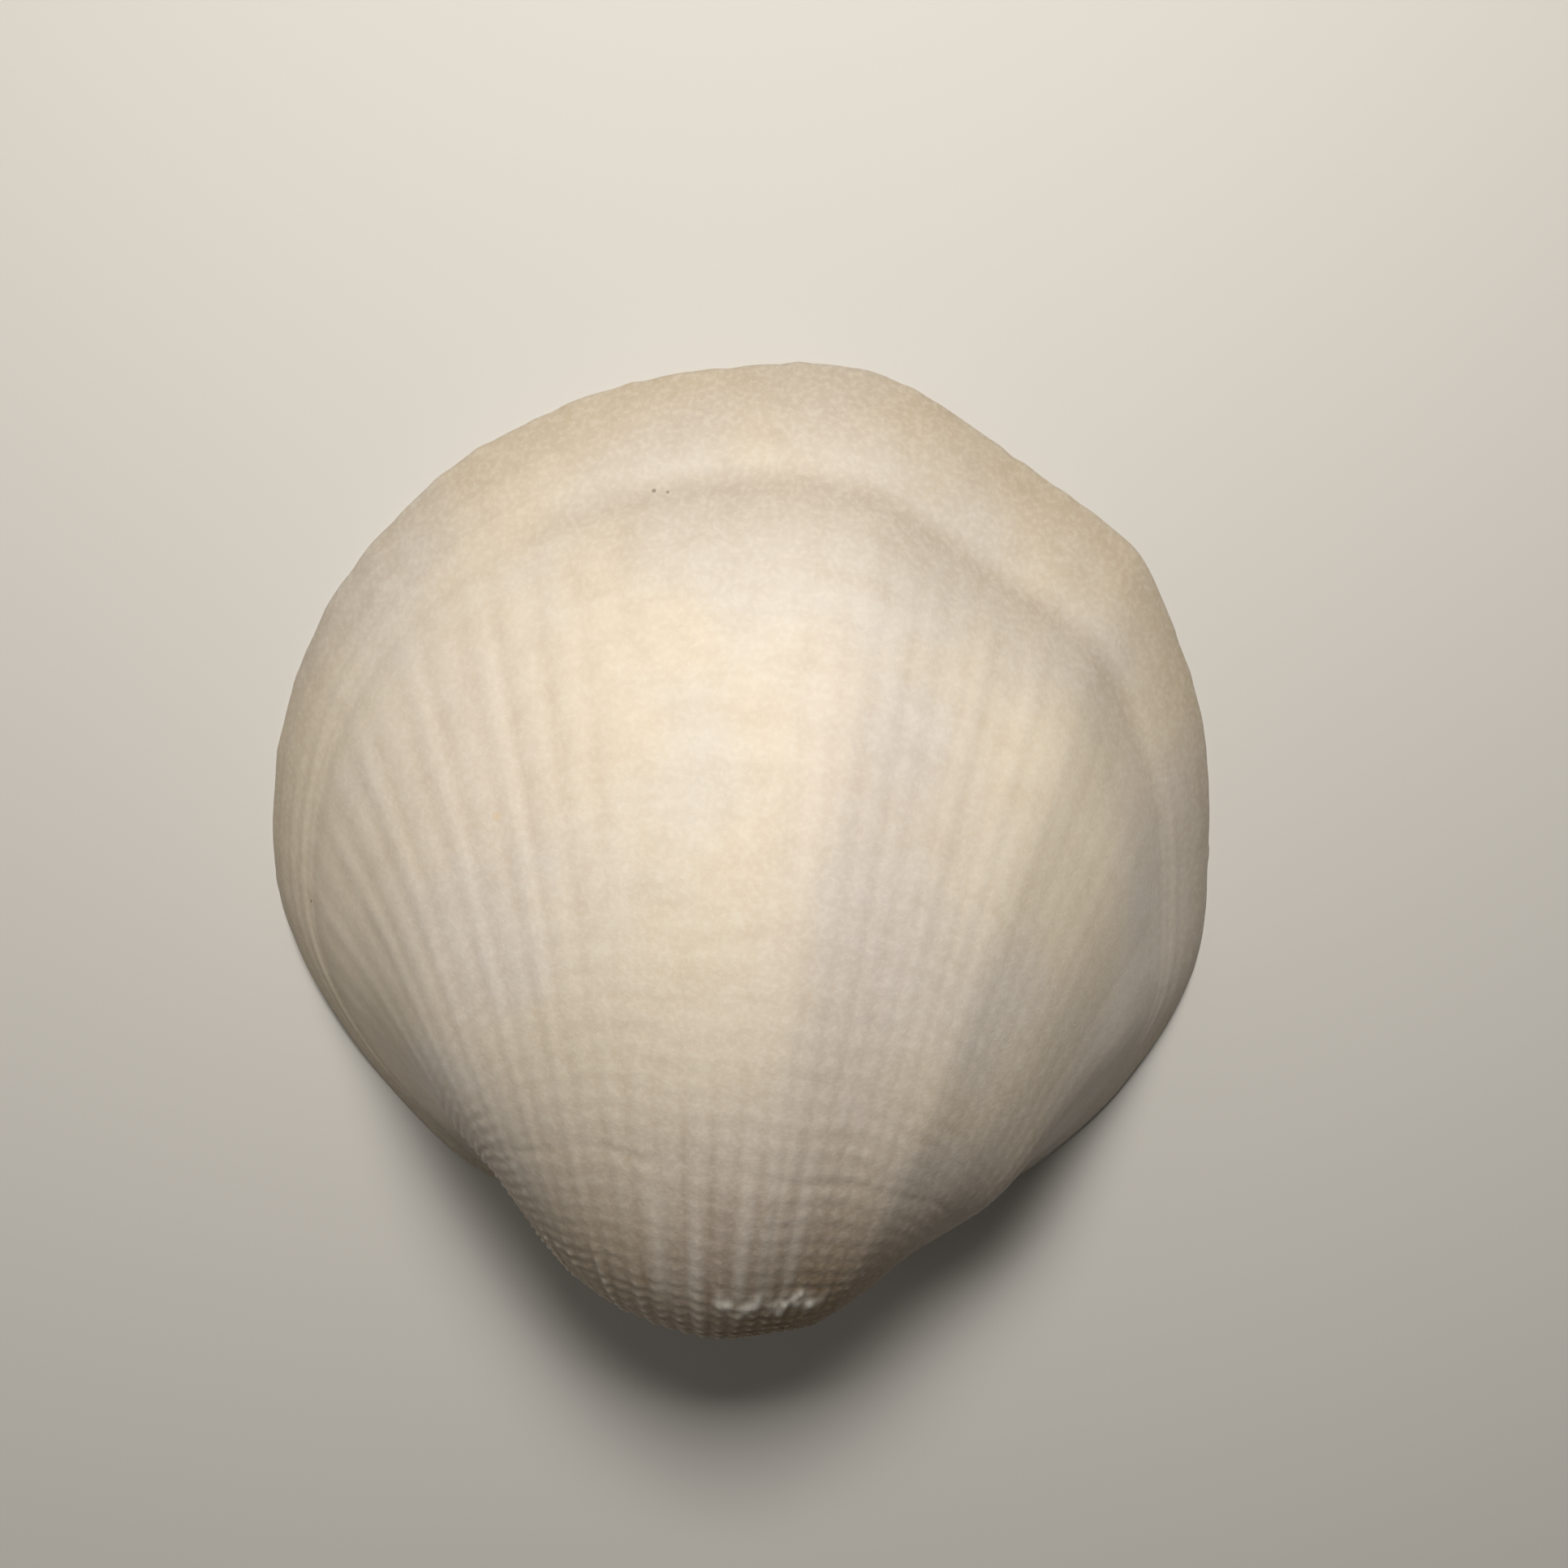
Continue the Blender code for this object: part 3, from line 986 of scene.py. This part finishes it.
    def tan_and_painted_shade(self, angle: Array, turn: Array) -> Array:
        """Give the share of dark tan on the outer side: mostly painted shade, partly the shell's own
        tan.

        The tint on the flanks, towards the edge and in the growth stop is painted shade; at the beak it
        is partly painted shade and partly the beak's own tan.

        Args:
            angle: angle on the rim, in radians.
            turn: turn about the hinge line, in radians.

        Returns:
            The share of the tint.
        """
        degrees = np.degrees(angle)
        # The flanks: painted shade where they turn away from the light, darker towards the beak.
        rear = 1.0 - smooth_step(40, 85, degrees)
        front = smooth_step(118, 158, degrees)
        sides = rear * (0.05 + 0.20 * smooth_step(0.30, 0.8, turn)) + 0.03 * front
        # The beak: partly its own tan, partly painted shade.
        beak = 0.62 * smooth_step(0.95, 1.75, turn) * (1.0 - 0.30 * smooth_step(88, 112, degrees))
        beak = beak + 0.24 * bump(80, 13, degrees) * smooth_step(1.0, 1.3, turn)
        beak = beak + 0.08 * smooth_step(1.2, 1.5, turn)
        # Towards the rim: painted shade on the last band as it curves down.
        outermost = (0.17 + 0.15 * bump(88, 34, degrees)) * (1.0 - smooth_step(0.0, 0.13, turn))
        edge = 0.14 * (1.0 - smooth_step(0.10, 0.22, turn)) + outermost
        # The growth stop: painted shade in its valley and a thin painted shadow line along it.
        before = smooth_step(0.105, self.relief.stop_turn, turn)
        valley = before * (1.0 - smooth_step(0.14, 0.36, turn)) * (1.0 - smooth_step(100, 120, degrees))
        valley = valley * smooth_step(45, 68, degrees)
        line = bump(self.relief.stop_turn + 0.004, 0.010, turn) * smooth_step(60, 80, degrees)
        return np.clip(sides + beak + edge + 0.24 * valley + 0.05 * line, 0.0, 0.92)

    def grey_and_painted_shade(self, angle: Array, turn: Array) -> Array:
        """Give the share of dull taupe, which grows towards the beak: painted shade over the beak's own
        duller tone.
        """
        return 0.42 * smooth_step(0.35, 1.35, turn) + np.zeros_like(angle)

    def cool(self, angle: Array, turn: Array) -> Array:
        """Give where the outer side is a cooler, faintly violet white: three soft patches.

        Args:
            angle: angle on the rim, in radians.
            turn: turn about the hinge line, in radians.

        Returns:
            The share of the cooler white.
        """
        degrees = np.degrees(angle)
        middle = 0.45 * bump(83, 9, degrees) * plateau(0.2, 0.5, 0.9, 1.3, turn)
        young = 0.55 * bump(95, 12, degrees) * plateau(0.9, 1.3, 1.5, 1.9, turn)
        side = 0.35 * bump(124, 12, degrees) * plateau(0.1, 0.3, 0.5, 1.0, turn)
        return middle + young + side

    def specks(self) -> list[tuple[Vector, float, str]]:
        """Give each stray speck's place in the frame, its radius and its colour.

        Returns:
            The specks.
        """
        found = []
        for degrees, turn, radius_mm, colour in self.stray_specks:
            place = self.outer(np.array([[math.radians(degrees)]]), np.array([[turn]]))[0, 0]
            found.append((Vector(place) + self.hinge_middle, radius_mm * MM, colour))
        return found

    def build(self) -> bpy.types.Object:
        """Make the valve's mesh: a ball's rings and columns, moved onto the skin's points.

        Returns:
            The valve, at the origin, linked to the scene.
        """
        points, values = self.grid()
        rings, columns = points.shape[0] - 1, points.shape[1]
        bm = bmesh.new()
        bmesh.ops.create_uvsphere(bm, u_segments=columns, v_segments=rings, radius=1.0)
        bm.verts.ensure_lookup_table()
        ball = np.array([vert.co for vert in bm.verts])
        column = np.rint(np.arctan2(ball[:, 1], ball[:, 0]) / math.tau * columns).astype(int) % columns
        ring = np.rint(np.arccos(np.clip(ball[:, 2], -1.0, 1.0)) / math.pi * rings).astype(int)
        for vert, place in zip(bm.verts, points[ring, column]):
            vert.co = place
        mesh = bpy.data.meshes.new("valve_shell")
        bm.to_mesh(mesh)
        bm.free()
        for name, value in values.items():
            layer = mesh.attributes.new(name, "FLOAT", "POINT")
            layer.data.foreach_set("value", value[ring, column].astype(np.float32))
        mesh.shade_smooth()
        mesh.set_sharp_from_angle(angle=self.sharp_over)
        valve = bpy.data.objects.new("valve_shell", mesh)
        bpy.context.scene.collection.objects.link(valve)
        return valve


def add_node(
    tree: bpy.types.NodeTree,
    kind: str,
    settings: dict[str, object] | None = None,
    links: dict[str, object] | None = None,
) -> bpy.types.Node:
    """Add a node with its settings and links.

    Args:
        tree: the material's node tree.
        kind: the node's type name.
        settings: attributes of the node, or default values of its inputs, by name or index.
        links: what feeds each input: an output socket, by the input's name or index.

    Returns:
        The new node.
    """
    node = tree.nodes.new(kind)
    for name, value in (settings or {}).items():
        if isinstance(name, str) and hasattr(node, name):
            setattr(node, name, value)
        else:
            node.inputs[name].default_value = value
    for name, source in (links or {}).items():
        tree.links.new(source, node.inputs[name])
    return node


@dataclass(frozen=True)
class ChalkyShell:
    """Aragonite shell, grown in layers: a matt, chalky outer side and a smooth bowl.

    Attributes:
        cream: the outer side's main colour.
        pale: its paler, cooler patches.
        violet: its coolest white.
        groove: a darker tint, painted shade between the ribs, also used for the growth lines and the
            mottles.
        tan_and_painted_shade: a dark tan, painted shade on the flanks, the edge and the growth stop,
            and in part the beak's own tan.
        umbo: a dull darker taupe laid towards the beak, painted shade over its own duller tone, and the
            scars' colour in the bowl.
        chalk: worn white grains on the crest, the pale frost, and the painted highlight on the rib and
            bead tops.
        bowl: the bowl's colour.
        bowl_deep: the bowl's colour under the beak.
        roughness: of the outer side.
        bowl_roughness: of the bowl and the rim.
        ior: index of refraction, the lowest of aragonite's three.
        shine: strength of the mirror reflection.
        depth_share: share of the light that spreads below the surface.
        depth: how far it spreads, in metres.
        patch_mm: size of the warm and cool patches.
        mottle_mm: size of the mottles.
        grain_mm: size of the grains that roughen the skin.
        frost_mm: size of the pale grains in its colour.
    """

    cream: str = "e5dac7"
    pale: str = "e1dad0"
    violet: str = "d6ccc9"
    # Painted shade between the ribs; also the colour of the growth lines and the mottles.
    groove: str = "c9b79f"
    # Painted shade on the flanks, the edge and the growth stop, and the beak's own tan.
    tan_and_painted_shade: str = "8c7451"
    # Towards the beak this is painted shade over the beak's own duller tone; in the bowl it dulls the
    # scars.
    umbo: str = "a2978d"
    # Also the painted highlight on the tops of the ribs and beads.
    chalk: str = "fffaf0"
    bowl: str = "f4ece0"
    bowl_deep: str = "e6cfae"
    roughness: float = 0.68
    bowl_roughness: float = 0.30
    ior: float = 1.53
    shine: float = 0.3
    depth_share: float = 0.15
    depth: float = 0.6 * MM
    patch_mm: float = 7.0
    mottle_mm: float = 0.9
    grain_mm: float = 0.09
    frost_mm: float = 0.16

    def build(self, specks: Sequence[tuple[Vector, float, str]]) -> bpy.types.Material:
        """Make the material from its object coordinates and the valve's own attributes.

        Args:
            specks: each speck's place, radius and colour.

        Returns:
            The finished material.
        """
        # The layers of the real shell end at its outer side in a chalky, finely grained skin, so
        # light spreads a little way in and comes back warm: the eye sees a matt cream with no
        # sharp shine. The bowl's last layer is smooth, so there a soft highlight shows.
        material = bpy.data.materials.new("aragonite_grown_in_layers")
        material.use_nodes = True
        tree = material.node_tree
        tree.nodes.clear()
        place = add_node(tree, "ShaderNodeTexCoord").outputs["Object"]
        side = self.attribute(tree, "side")
        colour = self.outer_colour(tree, place)
        for centre, radius, tint in specks:
            away = add_node(
                tree, "ShaderNodeVectorMath", {"operation": "DISTANCE", 1: centre}, {0: place}
            )
            spot = self.ramp(tree, away.outputs["Value"], radius, 0.4 * radius, 0.55)
            colour = self.mix(tree, spot, colour, tint)
        inside = add_node(tree, "ShaderNodeMath", {"operation": "GREATER_THAN", 1: 0.5}, {0: side})
        colour = self.mix(tree, inside.outputs[0], colour, self.bowl_colour(tree, place))
        rough = self.roughness_map(tree, inside.outputs[0])
        shader = add_node(
            tree,
            "ShaderNodeBsdfPrincipled",
            {
                "IOR": self.ior,
                "Specular IOR Level": self.shine,
                "Subsurface Weight": self.depth_share,
                "Subsurface Scale": self.depth,
            },
            {
                "Base Color": colour,
                "Roughness": rough,
                "Normal": self.fine_bump(tree, place, inside.outputs[0]),
            },
        )
        shader.inputs["Subsurface Radius"].default_value = (1.0, 0.75, 0.5)
        add_node(tree, "ShaderNodeOutputMaterial", links={"Surface": shader.outputs[0]})
        return material

    def attribute(self, tree: bpy.types.NodeTree, name: str) -> bpy.types.NodeSocket:
        """Read one of the valve's attributes."""
        return add_node(tree, "ShaderNodeAttribute", {"attribute_name": name}).outputs["Fac"]

    def mix(
        self,
        tree: bpy.types.NodeTree,
        factor: bpy.types.NodeSocket,
        first: bpy.types.NodeSocket | str,
        second: bpy.types.NodeSocket | str,
        blend: str = "MIX",
    ) -> bpy.types.NodeSocket:
        """Mix two colours.

        Args:
            tree: the material's node tree.
            factor: the second colour's share.
            first: a colour socket or hex colour.
            second: a colour socket or hex colour.
            blend: how they are mixed.

        Returns:
            The mixed colour.
        """
        settings = {"data_type": "RGBA", "blend_type": blend, "clamp_factor": True}
        node = add_node(tree, "ShaderNodeMix", settings)
        tree.links.new(factor, node.inputs[0])
        for index, source in ((6, first), (7, second)):
            if isinstance(source, str):
                node.inputs[index].default_value = linear_colour(source)
            else:
                tree.links.new(source, node.inputs[index])
        return node.outputs[2]

    def ramp(
        self,
        tree: bpy.types.NodeTree,
        value: bpy.types.NodeSocket,
        low: float,
        high: float,
        top: float = 1.0,
    ) -> bpy.types.NodeSocket:
        """Give a share that rises from 0 at low to top at high."""
        node = add_node(
            tree,
            "ShaderNodeMapRange",
            {"interpolation_type": "SMOOTHSTEP", 1: low, 2: high, 3: 0.0, 4: top},
            {0: value},
        )
        return node.outputs[0]

    def noise(
        self,
        tree: bpy.types.NodeTree,
        place: bpy.types.NodeSocket,
        size_mm: float,
        detail: float = 3.0,
    ) -> bpy.types.NodeSocket:
        """Give noise whose features are about size_mm across."""
        settings = {"Scale": 1.0 / (size_mm * MM), "Detail": detail, "Roughness": 0.55}
        return add_node(tree, "ShaderNodeTexNoise", settings, {"Vector": place}).outputs["Fac"]

    def outer_colour(
        self, tree: bpy.types.NodeTree, place: bpy.types.NodeSocket
    ) -> bpy.types.NodeSocket:
        """Give the outer side's colour: cream, cooler patches and painted light.

        The painted light is shade in dark tan on the flanks, the edge and the growth stop, a darker
        umbo that is partly painted shade over its own tone, painted shade between the ribs and a
        painted highlight on their tops.

        Args:
            tree: the material's node tree.
            place: the object coordinates.

        Returns:
            The colour.
        """
        patch = self.ramp(tree, self.noise(tree, place, self.patch_mm, 2.0), 0.40, 0.62)
        colour = self.mix(tree, patch, self.cream, self.pale)
        colour = self.mix(tree, self.attribute(tree, "cool"), colour, self.violet)
        # Darker towards the beak: painted shade over its own duller tone.
        colour = self.mix(tree, self.attribute(tree, "grey_and_painted_shade"), colour, self.umbo)
        # Dark tan: painted shade on the flanks, the edge and the growth stop, and the beak's own tan.
        colour = self.mix(tree, self.attribute(tree, "tan_and_painted_shade"), colour, self.tan_and_painted_shade)
        # Painted shade: darker in the grooves between the ribs, by their depth.
        groove = self.ramp(tree, self.attribute(tree, "relief"), 0.01, -0.05, 0.45)
        colour = self.mix(tree, groove, colour, self.groove, "MULTIPLY")
        # Painted highlight: paler on the tops of the ribs and beads, by their height.
        top = self.ramp(tree, self.attribute(tree, "relief"), 0.012, 0.045, 0.35)
        colour = self.mix(tree, top, colour, self.chalk)
        colour = self.mix(tree, self.growth_lines(tree), colour, self.groove, "MULTIPLY")
        mottle = self.ramp(tree, self.noise(tree, place, self.mottle_mm, 4.0), 0.35, 0.75, 0.14)
        colour = self.mix(tree, mottle, colour, self.groove, "MULTIPLY")
        frost = self.ramp(tree, self.noise(tree, place, self.frost_mm, 3.0), 0.38, 0.72, 0.15)
        colour = self.mix(tree, frost, colour, self.chalk)
        return self.mix(tree, self.attribute(tree, "chalk"), colour, self.chalk)

    def growth_lines(self, tree: bpy.types.NodeTree) -> bpy.types.NodeSocket:
        """Give the share of tint in uneven lines along the growth, some 0.4 mm apart.

        Args:
            tree: the material's node tree.

        Returns:
            The share of tint.
        """
        vector = add_node(
            tree,
            "ShaderNodeCombineXYZ",
            links={0: self.attribute(tree, "turn"), 1: self.attribute(tree, "angle")},
        )
        stretch = {"operation": "MULTIPLY", 1: (1.0, 0.06, 1.0)}
        scaled = add_node(tree, "ShaderNodeVectorMath", stretch, {0: vector.outputs[0]})
        settings = {"Scale": 45.0, "Detail": 3.0, "Roughness": 0.6}
        noise = add_node(tree, "ShaderNodeTexNoise", settings, {"Vector": scaled.outputs[0]})
        return self.ramp(tree, noise.outputs["Fac"], 0.40, 0.75, 0.07)

    def bowl_colour(
        self, tree: bpy.types.NodeTree, place: bpy.types.NodeSocket
    ) -> bpy.types.NodeSocket:
        """Give the bowl's colour: near white, warmer under the beak, duller on the scars.

        Args:
            tree: the material's node tree.
            place: the object coordinates.

        Returns:
            The colour.
        """
        deep = self.ramp(tree, self.attribute(tree, "turn"), 0.5, 1.5, 0.8)
        colour = self.mix(tree, deep, self.bowl, self.bowl_deep)
        cloud = self.ramp(tree, self.noise(tree, place, 3.0, 3.0), 0.4, 0.7, 0.25)
        colour = self.mix(tree, cloud, colour, self.bowl_deep)
        dullness = {"operation": "MULTIPLY", 1: 0.35}
        scar = add_node(tree, "ShaderNodeMath", dullness, {0: self.attribute(tree, "scar")})
        return self.mix(tree, scar.outputs[0], colour, self.umbo)

    def roughness_map(
        self, tree: bpy.types.NodeTree, inside: bpy.types.NodeSocket
    ) -> bpy.types.NodeSocket:
        """Give the roughness: matt outside, smoother in the bowl."""
        settings = {1: 0.0, 2: 1.0, 3: self.roughness, 4: self.bowl_roughness}
        return add_node(tree, "ShaderNodeMapRange", settings, {0: inside}).outputs[0]

    def fine_bump(
        self, tree: bpy.types.NodeTree, place: bpy.types.NodeSocket, inside: bpy.types.NodeSocket
    ) -> bpy.types.NodeSocket:
        """Give the normal of the fine grain of the layers, too small to be in the mesh.

        Args:
            tree: the material's node tree.
            place: the object coordinates.
            inside: 1 in the bowl and on the rim, 0 on the outer side.

        Returns:
            The normal.
        """
        grain = self.noise(tree, place, self.grain_mm, 2.0)
        strength = add_node(tree, "ShaderNodeMapRange", {1: 0.0, 2: 1.0, 3: 0.25, 4: 0.05}, {0: inside})
        links = {"Height": grain, "Strength": strength.outputs[0]}
        return add_node(tree, "ShaderNodeBump", {"Distance": 0.03 * MM}, links).outputs[0]


@dataclass(frozen=True)
class Studio:
    """The pale floor, the soft lights and the camera.

    Attributes:
        tilt: how far the camera leans from straight above towards the shell's far edge.
        roll: how far the hinge line is turned in the picture.
        distance: camera to shell.
        lens: focal length in millimetres.
        floor_colour: the painted board's colour.
        world_colour: colour of the even surround.
        world_strength: its strength.
        key_colour: colour of both lights.
        middle: the shell's middle, on the floor.
        aim: where the camera points, right and up in the picture from the shell's middle.
        key_place: how far right, up and back towards the camera the key light stands from middle.
        key_power: its power in watts.
        key_size: its side.
        fill_place: the same for the weak fill light.
        fill_power: its power in watts.
        fill_size: its side.
    """

    floor_colour: str = "d8d6d2"
    world_colour: str = "f7f2ea"
    world_strength: float = 0.06
    tilt: float = math.radians(16)
    roll: float = 0.147
    distance: float = 113.8 * MM
    lens: float = 102.5
    middle: tuple[float, float, float] = (-0.616 * MM, 0.203 * MM, 0.0)
    aim: tuple[float, float] = (1.545 * MM, 0.693 * MM)
    key_colour: str = "fffaf2"
    key_place: tuple[float, float, float] = (1 * MM, 26 * MM, 75 * MM)
    key_power: float = 0.0583
    key_size: float = 26 * MM
    fill_place: tuple[float, float, float] = (-55 * MM, -32 * MM, 42 * MM)
    fill_power: float = 0.0036
    fill_size: float = 45 * MM

    def axes(self) -> tuple[Vector, Vector, Vector]:
        """Give the camera's right, up and backward directions.

        Returns:
            The three directions.
        """
        cos_roll, sin_roll = math.cos(self.roll), math.sin(self.roll)
        cos_tilt, sin_tilt = math.cos(self.tilt), math.sin(self.tilt)
        right = Vector((cos_roll, sin_roll, 0.0))
        up = Vector((-sin_roll * cos_tilt, cos_roll * cos_tilt, -sin_tilt))
        back = Vector((-sin_roll * sin_tilt, cos_roll * sin_tilt, cos_tilt))
        return right, up, back

    def facing(self, right: Vector, up: Vector, back: Vector, place: Vector) -> Matrix:
        """Give the matrix of a camera or light that looks along minus back from a place.

        Args:
            right: its right direction.
            up: its up direction.
            back: the direction it looks away from.
            place: where it is.

        Returns:
            The matrix.
        """
        matrix = Matrix((right, up, back)).transposed().to_4x4()
        matrix.translation = place
        return matrix

    def add_camera(self) -> None:
        """Add the camera and make it the scene's."""
        right, up, back = self.axes()
        place = Vector(self.middle) + right * self.aim[0] + up * self.aim[1] + back * self.distance
        data = bpy.data.cameras.new("camera")
        data.lens = self.lens
        data.clip_start = 0.005
        data.clip_end = 10.0
        camera = bpy.data.objects.new("camera", data)
        camera.matrix_world = self.facing(right, up, back, place)
        bpy.context.scene.collection.objects.link(camera)
        bpy.context.scene.camera = camera

    def add_light(
        self, name: str, offset: tuple[float, float, float], size: float, power: float
    ) -> None:
        """Add a soft square light that points at the shell's middle.

        Args:
            name: the light's name.
            offset: how far right, up and back from the shell's middle it stands.
            size: its side.
            power: in watts.
        """
        right, up, back = self.axes()
        target = Vector(self.middle)
        place = target + back * offset[2] + up * offset[1] + right * offset[0]
        data = bpy.data.lights.new(name, "AREA")
        data.size = size
        data.energy = power
        data.color = linear_colour(self.key_colour)[:3]
        light = bpy.data.objects.new(name, data)
        turn = (place - target).to_track_quat("Z", "Y")
        light.matrix_world = Matrix.Translation(place) @ turn.to_matrix().to_4x4()
        bpy.context.scene.collection.objects.link(light)

    def add_lights(self) -> None:
        """Add the key light beside the camera, a weak fill, and an even surround."""
        self.add_light("key", self.key_place, self.key_size, self.key_power)
        self.add_light("fill", self.fill_place, self.fill_size, self.fill_power)
        world = bpy.data.worlds.new("surround")
        world.use_nodes = True
        background = world.node_tree.nodes["Background"]
        background.inputs["Color"].default_value = linear_colour(self.world_colour)
        background.inputs["Strength"].default_value = self.world_strength
        bpy.context.scene.world = world

    def add_floor(self) -> bpy.types.Object:
        """Add the pale floor that the shell lies on.

        Returns:
            The floor.
        """
        bm = bmesh.new()
        bmesh.ops.create_grid(bm, x_segments=1, y_segments=1, size=1.0)
        mesh = bpy.data.meshes.new("floor")
        bm.to_mesh(mesh)
        bm.free()
        # Flat paint rolled on a board: even and without shine, so that only the shadow shows.
        material = bpy.data.materials.new("matt_painted_board")
        material.use_nodes = True
        shader = material.node_tree.nodes["Principled BSDF"]
        shader.inputs["Base Color"].default_value = linear_colour(self.floor_colour)
        shader.inputs["Roughness"].default_value = 0.8
        mesh.materials.append(material)
        floor = bpy.data.objects.new("floor", mesh)
        bpy.context.scene.collection.objects.link(floor)
        return floor


def main() -> None:
    """Build the valve and its surroundings."""
    low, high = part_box("valve")
    LOG.info("valve solid from %s to %s", tuple(low), tuple(high))
    ribs = Ribs()
    hinge_middle = Vector((0.899 * MM, -10.031 * MM, 0.0))
    valve = Valve(RimOutline(), Growth(), Relief(ribs), hinge_middle)
    shell = valve.build()
    shell.data.materials.append(ChalkyShell().build(valve.specks()))
    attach(shell, "root")
    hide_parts("valve")
    LOG.info("shell: %d faces", len(shell.data.polygons))
    studio = Studio()
    studio.add_floor()
    studio.add_lights()
    studio.add_camera()
    bpy.context.scene.view_settings.view_transform = "Standard"


if __name__ == "__main__":
    logging.basicConfig(level=logging.INFO)
    main()
